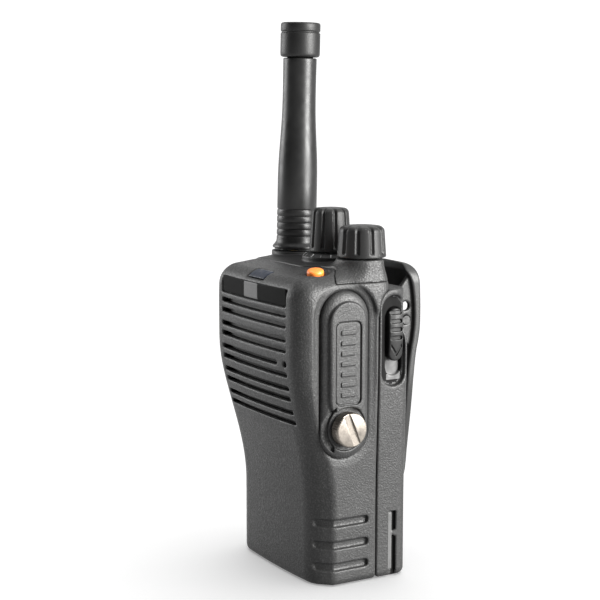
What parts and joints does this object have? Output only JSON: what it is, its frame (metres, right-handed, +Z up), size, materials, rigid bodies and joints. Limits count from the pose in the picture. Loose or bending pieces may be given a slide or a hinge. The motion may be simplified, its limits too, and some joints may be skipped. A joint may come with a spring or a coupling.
{
  "type": "portable two-way radio",
  "caption": "Hand-held two-way radio with screw-on antenna, two top knobs, loudspeaker grille, side accessory cover held by a thumbscrew, clip-on battery and sprung belt clip.",
  "frame": {"origin": "middle of the flat underside that the radio stands on, on its left-right plane of symmetry and half way between the front and back of its foot", "axes": "+Z up along the radio's height, -Y towards the side with the loudspeaker grille, +X towards the side with the accessory cover"},
  "size_m": [0.0673, 0.0562, 0.1884],
  "materials": {
    "moulded": "fine spark-eroded grain",
    "panel": "satin moulded",
    "knob": "satin moulded",
    "rubber": "smooth satin",
    "lens": "clear tinted",
    "alarm_orange": "satin",
    "steel": "machined",
    "nickel": "turned and plated",
    "alloy": "die cast",
    "brass": "turned",
    "circuit": "solder mask",
    "cell": "shrink wrap"
  },
  "bodies": {
    "radio": {"front_case": "moulded", "rear_chassis": "alloy", "top_panel": "panel", "name_plate": "panel", "led_lens": "lens", "grille_membrane": "rubber", "speaker_frame": "alloy", "speaker_cone": "rubber", "speaker_magnet": "steel", "microphone": "alloy", "main_board": "circuit", "shield_can": "steel", "battery_contact_block": "brass", "accessory_socket": "rubber", "screw_insert": "brass", "volume_pot": "alloy", "channel_switch": "alloy", "antenna_socket": "brass", "chassis_screw_1": "steel", "chassis_screw_2": "steel", "chassis_screw_3": "steel", "chassis_screw_4": "steel"},
    "volume_control": {"volume_knob": "knob", "volume_shaft": "steel"},
    "channel_control": {"channel_knob": "knob", "channel_shaft": "steel"},
    "antenna_foot": {"antenna_gasket": "rubber"},
    "antenna": {"antenna_whip": "rubber", "antenna_cap": "knob", "antenna_stud": "brass"},
    "alarm": {"alarm_button": "alarm_orange"},
    "push_to_talk": {"ptt_button": "rubber"},
    "side_key_upper": {"side_button_upper": "rubber"},
    "side_key_lower": {"side_button_lower": "rubber"},
    "cover": {"accessory_cover": "moulded", "cover_badge": "panel"},
    "cover_screw": {"thumbscrew": "nickel", "captive_clip": "steel"},
    "battery": {"battery_housing": "moulded", "battery_lid": "moulded", "battery_cell_left": "cell", "battery_cell_right": "cell", "battery_contact_left": "brass", "battery_contact_middle": "brass", "battery_contact_right": "brass", "clip_bracket": "panel", "clip_pin": "steel", "clip_spring": "steel", "clip_screw_left": "steel", "clip_screw_right": "steel"},
    "latch_right": {"battery_latch_right": "panel"},
    "latch_left": {"battery_latch_left": "panel"},
    "belt_clip": {"clip_lever": "panel"}
  },
  "joints": [
    {"name": "volume_turn", "type": "hinge", "parent": "radio", "child": "volume_control", "pos_m": [0.022, 0.0036, 0.11], "axis": [0, 0, -1], "range_deg": [0, 270]},
    {"name": "channel_turn", "type": "hinge", "parent": "radio", "child": "channel_control", "pos_m": [0.0018, 0.0036, 0.11], "axis": [0, 0, -1], "range_deg": [0, 337.5]},
    {"name": "antenna_lift", "type": "slide", "parent": "radio", "child": "antenna_foot", "axis": [0, 0.0244, 0.9997], "range_m": [0, 0.0075]},
    {"name": "antenna_unscrew", "type": "hinge", "parent": "antenna_foot", "child": "antenna", "pos_m": [-0.022, 0.0036, 0.1089], "axis": [0, 0.0244, 0.9997], "range_deg": [0, 2700]},
    {"name": "alarm_press", "type": "slide", "parent": "radio", "child": "alarm", "axis": [-0.1701, 0.1401, -0.9754], "range_m": [0, 0.0008], "stiffness_N_per_m": 2500, "springref_m": -0.0002},
    {"name": "ptt_press", "type": "slide", "parent": "radio", "child": "push_to_talk", "axis": [1, 0, 0], "range_m": [0, 0.0009], "stiffness_N_per_m": 3000, "springref_m": -0.0003},
    {"name": "side_key_upper_press", "type": "slide", "parent": "radio", "child": "side_key_upper", "axis": [1, 0, 0], "range_m": [0, 0.0008], "stiffness_N_per_m": 2500, "springref_m": -0.0002},
    {"name": "side_key_lower_press", "type": "slide", "parent": "radio", "child": "side_key_lower", "axis": [1, 0, 0], "range_m": [0, 0.0008], "stiffness_N_per_m": 2500, "springref_m": -0.0002},
    {"name": "cover_lift", "type": "slide", "parent": "radio", "child": "cover", "axis": [1, 0, 0], "range_m": [0, 0.0056]},
    {"name": "cover_unscrew", "type": "hinge", "parent": "cover", "child": "cover_screw", "pos_m": [0.031, -0.0078, 0.0544], "axis": [1, 0, 0], "range_deg": [0, 2880]},
    {"name": "battery_release", "type": "slide", "parent": "radio", "child": "battery", "axis": [0, 1, 0], "range_m": [0, 0.03]},
    {"name": "latch_right_pull", "type": "slide", "parent": "battery", "child": "latch_right", "axis": [0, 0, -1], "range_m": [0, 0.005], "stiffness_N_per_m": 600, "springref_m": -0.001},
    {"name": "latch_left_pull", "type": "slide", "parent": "battery", "child": "latch_left", "axis": [0, 0, -1], "range_m": [0, 0.005], "stiffness_N_per_m": 600, "springref_m": -0.001},
    {"name": "clip_open", "type": "hinge", "parent": "battery", "child": "belt_clip", "pos_m": [0, 0.024, 0.0865], "axis": [1, 0, 0], "range_deg": [0, 8], "stiffness_Nm_per_rad": 0.9, "springref_deg": -5.73}
  ],
  "couplings": [
    {"joint": "antenna_unscrew", "follows": "antenna_lift", "rad_per_m": 6283.2},
    {"joint": "cover_unscrew", "follows": "cover_lift", "rad_per_m": 8976}
  ]
}
